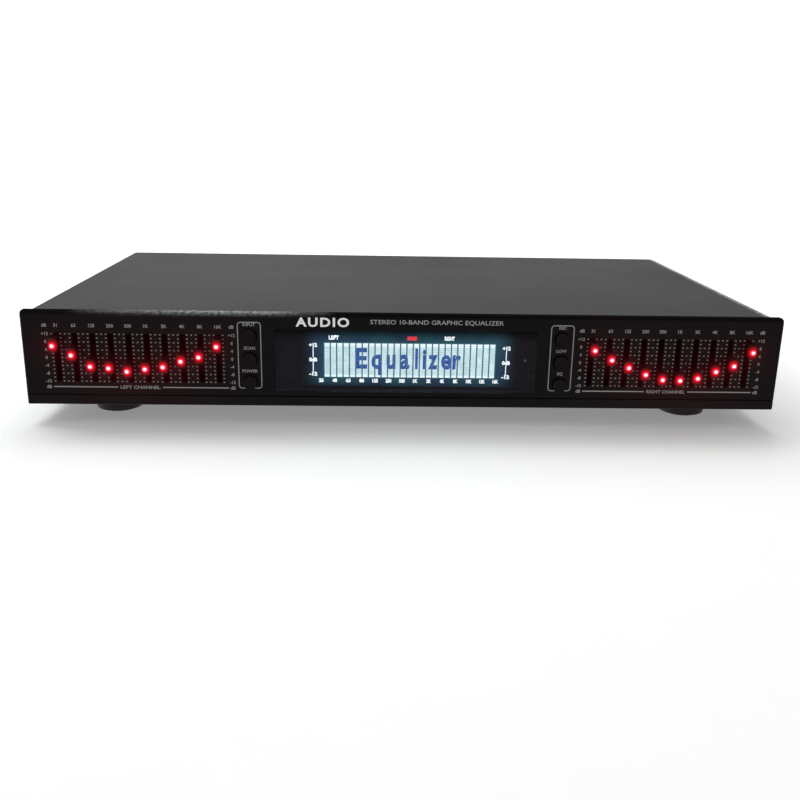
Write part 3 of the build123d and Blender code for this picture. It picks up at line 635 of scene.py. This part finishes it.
# ---- boxes round the buttons ----
button_words = {
    "button_input": "INPUT", "button_scan": "SCAN", "button_power": "POWER",
    "button_rec": "REC", "button_low": "LOW", "button_eq": "EQ",
}
for body, word in button_words.items():
    low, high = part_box(body)
    u = (low.x + high.x) / 2
    legends.words(word, u, (low.z + high.z) / 2 + 6.7 * MM, TINY_TYPE, weight=SMALL_WEIGHT)
    if body in ("button_scan", "button_low"):
        legends.outline(u, panel_foot + 29.7 * MM, 13.4 * MM, 38.8 * MM, 0.55 * MM, 2.0 * MM)

# ---- title line ----
title.words(
    "STEREO 10-BAND GRAPHIC EQUALIZER", 17.1 * MM, panel_foot + 49.8 * MM, 2.4 * MM, wide=75.4 * MM,
    weight=0.01,
)
# Painted light: the name's ink glows a little, so it shows brighter than the lamps alone light it.
name_mark = Print(FRONT, panel_face)
name_mark.words(
    "AUDIO", -47.4 * MM, panel_foot + 49.3 * MM, 4.8 * MM, wide=30.0 * MM, spacing=1.2, weight=0.03,
)
name_mark.piece("front_name", lamp_of("painted_glow_ink", (0.8, 0.8, 0.8), 0.55)[0])
dots.piece("front_dots", ink_dots)
legends.piece("front_legends", ink_grey)
title.piece("front_title", ink_white)

# ---- rear legends ----
rear_marks = Print(BACK, rear_high.y)
inlet_low, inlet_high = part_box("mains_inlet")
fuse_low, fuse_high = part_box("fuse_holder")
jack_radius = 4.15 * MM
first_column = jack_low.x + jack_radius
column_step = (jack_high.x - jack_low.x - 2 * jack_radius) / 3
for i, words in enumerate(("LINE IN", "LINE OUT", "TAPE IN", "TAPE OUT")):
    u = -(first_column + i * column_step)
    rear_marks.words(words, u, jack_high.z + 4.6 * MM, 2.0 * MM, wide=1.75 * MM * len(words))
for v, side in ((jack_high.z - jack_radius, "L"), (jack_low.z + jack_radius, "R")):
    rear_marks.words(side, -(first_column - 13.5 * MM), v, 2.6 * MM, weight=0.015)
rear_marks.words("AC IN", -(inlet_low.x + inlet_high.x) / 2, inlet_high.z + 3.4 * MM, 2.4 * MM, weight=0.01)
rear_marks.words("FUSE", -(fuse_low.x + fuse_high.x) / 2, fuse_high.z + 3.4 * MM, 2.2 * MM, weight=0.01)
rear_marks.piece("rear_legends", ink_white)

# ---- display: lit segments just in front of the glass ----
DISPLAY_GAIN = 4.4      # how brightly its light shows through the smoked window
LABEL_WEIGHT = 0.06
bar_count, bar_rows = 27, 16
bars_left, bars_right = -46.9 * MM, 52.2 * MM
bars_low, bars_high = panel_foot + 14.5 * MM, panel_foot + 34.6 * MM
bar_gap, row_gap = 0.78 * MM, 0.1 * MM


def bars_finish():
    """Pale blue-green light, whiter in the top and bottom rows, uneven from cell to cell."""
    made, tree, shader = blank("display_bars")
    height = axis_of(tree, "Z")
    fine = noise(tree, place(tree), 190.0, 2.0)
    body = ramp(tree, (fine, "Fac"), [(0.3, (0.44, 0.62, 0.66)), (0.7, (0.64, 0.82, 0.9))])
    top = spread_of(tree, height, 0.0, 1.0, bars_high - 2.6 * MM, bars_high - 1.2 * MM, smooth=True)
    bottom = spread_of(tree, height, 1.0, 0.0, bars_low + 0.8 * MM, bars_low + 1.8 * MM, smooth=True)
    ends = maths(tree, "MAXIMUM", top, bottom)
    lit = mixed(tree, ends, body, (0.76, 0.92, 0.98))
    tree.links.new(mix_out(lit), shader.inputs["Emission Color"])
    shader.inputs["Base Color"].default_value = (0.1, 0.14, 0.14, 1.0)
    shader.inputs["Emission Strength"].default_value = DISPLAY_GAIN
    return made


def glow_finish():
    """The light between and round the lit bars: strong among them, faint and blue beyond."""
    made, tree, shader = blank("display_glow")
    middle_x, middle_z = (bars_left + bars_right) / 2, (bars_low + bars_high) / 2
    half_x, half_z = (bars_right - bars_left) / 2, (bars_high - bars_low) / 2
    faint, among = [], []
    for axis, middle, reach, fade in (("X", middle_x, half_x, 14.0 * MM), ("Z", middle_z, half_z, 9.0 * MM)):
        offset = maths(tree, "SUBTRACT", axis_of(tree, axis), middle)
        away = maths(tree, "ABSOLUTE", offset)
        faint.append(spread_of(tree, away, 1.0, 0.0, reach - 1.0 * MM, reach + fade, smooth=True))
        among.append(spread_of(tree, away, 1.0, 0.0, reach - 0.2 * MM, reach + 0.8 * MM, smooth=True))
    around = maths(tree, "MULTIPLY", *faint)
    within = maths(tree, "MULTIPLY", *among)
    patchy = noise(tree, place(tree), 60.0, 2.0)
    shade = ramp(tree, (patchy, "Fac"), [(0.3, (0.012, 0.035, 0.075)), (0.7, (0.012, 0.07, 0.09))])
    colour = mixed(tree, within, shade, (0.1, 0.2, 0.21))
    tree.links.new(mix_out(colour), shader.inputs["Emission Color"])
    link(tree, maths(tree, "MULTIPLY", around, DISPLAY_GAIN), shader.inputs["Emission Strength"])
    shader.inputs["Base Color"].default_value = (0.004, 0.006, 0.008, 1.0)
    shader.inputs["Roughness"].default_value = 0.2
    return made


glow = Print(FRONT, tube_face)
glow.bar(tube_low.x + 1.2 * MM, tube_low.z + 1.2 * MM, tube_high.x - 1.2 * MM, tube_high.z - 1.2 * MM)
glow.piece("display_glow", glow_finish())

bars = Print(FRONT, tube_face - 2 * PRINT)
bar_step = (bars_right - bars_left + bar_gap) / bar_count
cell_step = (bars_high - bars_low + row_gap) / bar_rows
for i in range(bar_count):
    for j in range(bar_rows):
        u, v = bars_left + i * bar_step, bars_low + j * cell_step
        bars.bar(u, v, u + bar_step - bar_gap, v + cell_step - row_gap)
bars.piece("display_bars", bars_finish())

blue = Print(FRONT, tube_face - 4 * PRINT)
# Each letter, its middle and its width in millimetres, spaced as a dot display spaces them.
letters = (
    ("E", -25.7, 7.0), ("q", -16.8, 5.9), ("u", -8.3, 5.3), ("a", -0.5, 5.7), ("l", 6.5, 1.6),
    ("i", 10.9, 1.6), ("z", 16.1, 5.5), ("e", 23.8, 5.8), ("r", 30.0, 5.0),
)
for letter, u, wide in letters:
    blue.words(letter, u * MM, panel_foot + 25.7 * MM, 11.3 * MM, wide=wide * MM, weight=0.035)
blue.piece("display_word", lamp_of("display_blue", (0.035, 0.11, 0.42), DISPLAY_GAIN, ripple=0.5)[0])

seams = Print(FRONT, tube_face - 6 * PRINT)
for i in range(1, bar_count):
    u = bars_left + i * bar_step
    seams.bar(u - bar_gap, bars_low, u, bars_high)
seams.piece("display_seams", lamp_of("display_seam", (0.08, 0.155, 0.17), DISPLAY_GAIN, ripple=0.4)[0])

white = Print(FRONT, tube_face - 2 * PRINT)
labels = ["25", "40", "63", "80", "125", "250", "500", "1K", "2K", "4K", "8K", "10K", "12K", "16K"]
label_left, label_right = -48.9 * MM, 53.2 * MM
for i, label in enumerate(labels):
    u = label_left + (label_right - label_left) * i / (len(labels) - 1)
    wide = (1.6 + 0.6 * len(label)) * MM
    white.words(label, u, panel_foot + 12.3 * MM, 1.9 * MM, wide=wide, weight=LABEL_WEIGHT)
stem_half, stem_tall = 0.25 * MM, 6.1 * MM
for u, top in ((-53.5 * MM, panel_foot + 33.4 * MM), (58.9 * MM, panel_foot + 32.4 * MM)):
    for drop, label in ((0, "+12"), (8.7 * MM, "0dB"), (17.2 * MM, "-12")):
        white.words(label, u, top - drop, 2.0 * MM, wide=4.7 * MM, weight=LABEL_WEIGHT)
    for drop in (1.3 * MM, 10.0 * MM):
        white.bar(u - stem_half, top - drop - stem_tall, u + stem_half, top - drop)
for u, label in ((-41.5 * MM, "LEFT"), (25.5 * MM, "RIGHT")):
    white.words(label, u, panel_foot + 37.9 * MM, 2.1 * MM, wide=5.9 * MM, weight=LABEL_WEIGHT)
white.piece("display_labels", lamp_of("display_white", (0.9, 0.96, 1.0), DISPLAY_GAIN)[0])

sensor_low, sensor_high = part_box("remote_sensor")
sensor_u, sensor_v = (sensor_low.x + sensor_high.x) / 2, (sensor_low.z + sensor_high.z) / 2
# Painted highlight: a small glowing ring on the sensor's face stands in for a glint.
glint = Print(FRONT, sensor_low.y)
glint.outline(sensor_u - 1.0 * MM, sensor_v + 0.4 * MM, 1.5 * MM, 1.3 * MM, 0.5 * MM, 0.6 * MM)
glint.piece("sensor_glint", lamp_of("sensor_glint", (0.3, 0.3, 0.34), 1.0)[0])

red = Print(FRONT, tube_face - 2 * PRINT)
red.bar(0.9 * MM, panel_foot + 36.6 * MM, 6.5 * MM, panel_foot + 38.9 * MM)
red.piece("display_red", lamp_of("display_red", (0.75, 0.05, 0.07), DISPLAY_GAIN, ripple=0.3)[0])

# ---- sliders: waisted cap, bezel, lit lens, lever and wiper block ----
BLOCK_HALF, BLOCK_TALL, SLIDER_LONG = 2.4 * MM, 4.4 * MM, 25.7 * MM
CAP_START, CAP_END, CAP_TALL = 1.0 * MM, 7.6 * MM, 9.0 * MM


def from_lens(tree, depth_share):
    """How far a point of the slider is from its lens, in metres; depth_share says how much depth counts."""
    coordinates = tree.nodes.new("ShaderNodeTexCoord")
    centred = tree.nodes.new("ShaderNodeVectorMath")
    centred.operation = "SUBTRACT"
    link(tree, (coordinates, "Generated"), centred.inputs[0])
    centred.inputs[1].default_value = (0.5, 0.0, 0.5)
    sized = tree.nodes.new("ShaderNodeVectorMath")
    sized.operation = "MULTIPLY"
    link(tree, (centred, "Vector"), sized.inputs[0])
    sized.inputs[1].default_value = (2 * BLOCK_HALF, depth_share * SLIDER_LONG, CAP_TALL)
    return length_of(tree, (sized, "Vector"))


def cap_finish():
    """Black moulded cap that glows red round its lens."""
    made, tree, shader = finish_of(
        "slider_cap", (0.006, 0.004, 0.0045), 0.4, grain=2200.0, relief=0.004, specular=0.22,
    )
    near = spread_of(tree, from_lens(tree, 0.9), 1.0, 0.0, 1.5 * MM, 4.6 * MM)
    shader.inputs["Emission Color"].default_value = (1.0, 0.003, 0.016, 1.0)
    glow = maths(tree, "MULTIPLY", maths(tree, "POWER", near, 2.2), 0.9)
    link(tree, glow, shader.inputs["Emission Strength"])
    return made


def lens_finish():
    """Lit lens: nearly white in the middle, red at its rim."""
    made, tree, shader = blank("slider_lens")
    outward = spread_of(tree, from_lens(tree, 0.0), 0.0, 1.0, 0.0, 1.6 * MM)
    lit = ramp(tree, outward, [(0.0, (1.0, 0.3, 0.34)), (0.5, (1.0, 0.14, 0.18)), (1.0, (0.9, 0.005, 0.03))])
    power = spread_of(tree, outward, 12.0, 0.9, 0.0, 0.85)
    link(tree, lit, shader.inputs["Emission Color"])
    link(tree, power, shader.inputs["Emission Strength"])
    shader.inputs["Base Color"].default_value = (0.4, 0.02, 0.03, 1.0)
    shader.inputs["Roughness"].default_value = 0.12
    return made


def slider_mesh():
    """The slider's shape about the tip of its lens; y runs back into the unit."""
    bm = bmesh.new()
    front_half, base_half, waist = 4.0 * MM, CAP_TALL / 2, 3.5 * MM
    half_width = 2.3 * MM
    pull = 2 * waist - (front_half + base_half) / 2
    steps = 10
    upper = []
    for i in range(steps + 1):
        t = i / steps
        rise = (1 - t) ** 2 * front_half + 2 * t * (1 - t) * pull + t**2 * base_half
        upper.append((CAP_START + t * (CAP_END - CAP_START), rise))
    outline = upper + [(y, -z) for y, z in reversed(upper)]
    sides = [[bm.verts.new((x, y, z)) for y, z in outline] for x in (-half_width, half_width)]
    bm.faces.new(sides[0])
    bm.faces.new(list(reversed(sides[1])))
    for i in range(len(outline)):
        j = (i + 1) % len(outline)
        bm.faces.new((sides[0][i], sides[1][i], sides[1][j], sides[0][j]))
    bmesh.ops.recalc_face_normals(bm, faces=bm.faces)
    crisp = [edge for edge in bm.edges if edge.calc_face_angle(0) > math.radians(40)]
    bmesh.ops.bevel(bm, geom=crisp, offset=0.4 * MM, segments=3, profile=0.5, affect="EDGES")
    bezel = [(1.62, 1.3), (1.62, 0.85), (1.7, 0.75), (1.95, 0.75), (2.1, 0.9), (2.1, 1.2)]
    add_turned(bm, [(radius * MM, y * MM) for radius, y in bezel], 0)
    dome = [(1.6, 1.9), (1.6, 0.95)]
    dome += [(1.6 * math.cos(a), 0.95 - 0.95 * math.sin(a)) for a in (0.25, 0.55, 0.85, 1.1, 1.3)]
    dome += [(0, 0)]
    add_turned(bm, [(radius * MM, y * MM) for radius, y in dome], 1)
    lever_start, block_start = CAP_END - 1.1 * MM, SLIDER_LONG - 3.5 * MM
    add_block(bm, (-0.7 * MM, lever_start, -2.0 * MM), (0.7 * MM, block_start + 0.1 * MM, 2.0 * MM), 2)
    add_block(bm, (-BLOCK_HALF, block_start, -BLOCK_TALL), (BLOCK_HALF, SLIDER_LONG, BLOCK_TALL), 2)
    return bm


lever_finish = finish_of("slider_lever", (0.02, 0.02, 0.021), 0.4, metal=0.6, relief=0.003)[0]
pattern = as_piece(slider_mesh(), "slider_pattern", [cap_finish(), lens_finish(), lever_finish])
slider_shape = pattern.data
bpy.data.objects.remove(pattern)
for bank in banks:
    for x, body in banks[bank]:
        low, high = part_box(body)
        made = bpy.data.objects.new("fader_" + body.removeprefix("slider_"), slider_shape)
        made.location = (x, low.y, (low.z + high.z) / 2)
        scene.collection.objects.link(made)
        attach(made, body)
        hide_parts(body)


# ---- floor, backdrop and light ----
def paper_finish():
    """White paper, with a little light of its own far off so that it stays even."""
    made, tree, shader = finish_of(
        "studio_paper", (0.84, 0.84, 0.83), 0.85, grain=60.0, spread=0.01, rough_spread=0.02, relief=0.0,
        specular=0.1, blotch=2.0,
    )
    away = length_of(tree, (place(tree), "Vector"))
    far = spread_of(tree, away, 0.24, 0.8, 0.45, 1.8, smooth=True)
    shader.inputs["Emission Color"].default_value = (1.0, 1.0, 1.0, 1.0)
    link(tree, far, shader.inputs["Emission Strength"])
    return made


def floor_and_backdrop():
    """A pale floor that curves up into a wall far off; it neither lights nor mirrors in the unit."""
    bm = bmesh.new()
    flat, bend, top = 2.2, 0.9, 1.5
    profile = [(0.0, 0.0), (1.2, 0.0), (flat, 0.0)]
    profile += [
        (flat + bend * math.sin(a), bend - bend * math.cos(a)) for a in (0.3, 0.6, 0.9, 1.2, math.pi / 2)
    ]
    profile += [(flat + bend, top)]
    add_turned(bm, profile, sides=96, upright=True)
    made = as_piece(bm, "studio_floor", [paper_finish()], sharp=80.0)
    made.visible_diffuse = False
    made.visible_glossy = False


def soft_light(name, spot, aim, size, power, tint=(1.0, 1.0, 1.0)):
    """A rectangular area light at a spot, aimed at a point."""
    lamp = bpy.data.lights.new(name, "AREA")
    lamp.shape = "RECTANGLE"
    lamp.size, lamp.size_y = size
    lamp.energy = power
    lamp.color = tint
    holder = bpy.data.objects.new(name, lamp)
    holder.location = spot
    holder.rotation_euler = (Vector(aim) - Vector(spot)).to_track_quat("-Z", "Y").to_euler()
    scene.collection.objects.link(holder)


def studio_sky():
    """Soft light from behind, dimmer from above, in front and below."""
    world = bpy.data.worlds.new("studio")
    world.use_nodes = True
    tree = world.node_tree
    coordinates = tree.nodes.new("ShaderNodeTexCoord")
    lean = tree.nodes.new("ShaderNodeVectorMath")
    lean.operation = "DOT_PRODUCT"
    link(tree, (coordinates, "Generated"), lean.inputs[0])
    lean.inputs[1].default_value = (-0.48, 0.82, 0.31)
    strength = spread_of(tree, (lean, "Value"), 0.25, 1.0, -0.1, 1.0)
    link(tree, strength, tree.nodes["Background"].inputs["Strength"])
    tree.nodes["Background"].inputs["Color"].default_value = (1.0, 1.0, 1.0, 1.0)
    scene.world = world


def lens_bloom():
    """A soft red halo round the lit lenses."""
    scene.use_nodes = True
    tree = scene.node_tree
    tree.nodes.clear()
    layers = tree.nodes.new("CompositorNodeRLayers")
    glare = tree.nodes.new("CompositorNodeGlare")
    output = tree.nodes.new("CompositorNodeComposite")
    glare.glare_type = "BLOOM"
    for name, value in (
        ("Threshold", 2.6), ("Smoothness", 0.1), ("Strength", 1.8), ("Saturation", 1.0), ("Size", 0.3),
        ("Tint", (1.0, 0.1, 0.2, 1.0)),
    ):
        if name in glare.inputs:
            glare.inputs[name].default_value = value
    link(tree, (layers, "Image"), glare.inputs["Image"])
    link(tree, (glare, "Image"), output.inputs["Image"])


floor_and_backdrop()
middle = (0.0, 0.0, 0.03)
soft_light("overhead", (0.1, 1.3, 1.6), middle, (1.8, 1.4), 20.0)
soft_light("left_above", (-0.7, 0.3, 0.9), (-0.1, 0.0, 0.03), (0.5, 0.4), 5.0, tint=(0.92, 1.0, 0.98))
studio_sky()
lens_bloom()
scene.view_settings.view_transform = "Standard"
